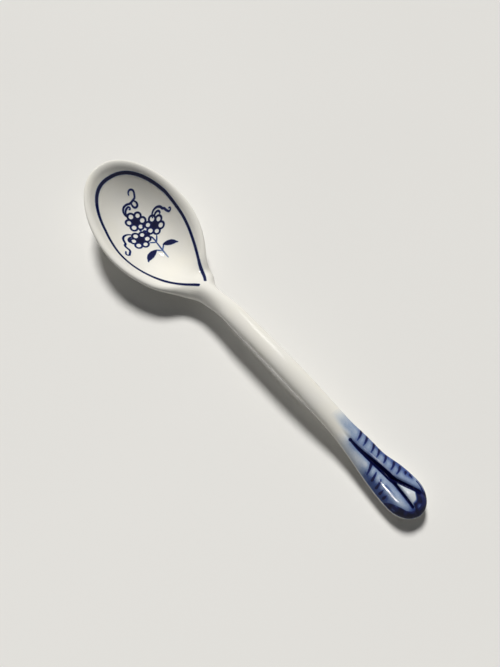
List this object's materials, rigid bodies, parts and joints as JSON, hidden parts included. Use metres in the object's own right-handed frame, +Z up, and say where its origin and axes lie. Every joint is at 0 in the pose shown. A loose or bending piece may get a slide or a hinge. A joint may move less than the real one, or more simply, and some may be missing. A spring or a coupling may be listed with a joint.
{
  "type": "porcelain teaspoon",
  "caption": "Glazed white porcelain teaspoon with an egg-shaped bowl, arched stem and moulded bud-shaped handle end, painted in cobalt blue with a flower sprig and rim line.",
  "frame": {"origin": "on the table plane below the middle of the spoon's length", "axes": "+X along the spoon from the bowl tip to the handle end, +Y across, +Z up out of the bowl"},
  "size_m": [0.1349, 0.0294, 0.0136],
  "materials": {
    "porcelain": "clear gloss glaze over warm white porcelain",
    "cobalt": "cobalt blue underglaze painting, glossy"
  },
  "bodies": {
    "root": {"bowl": "porcelain", "stem": "porcelain", "terminal": "porcelain", "rim_line": "cobalt", "blossom_tip": "cobalt", "blossom_left": "cobalt", "blossom_right": "cobalt", "tendril_tip": "cobalt", "tendril_left": "cobalt", "tendril_right": "cobalt", "sprig_stalks": "cobalt", "leaf_left": "cobalt", "leaf_right": "cobalt", "groove_line": "cobalt", "lobe_strokes_left": "cobalt", "lobe_strokes_right": "cobalt", "tip_band": "cobalt"}
  },
  "joints": []
}
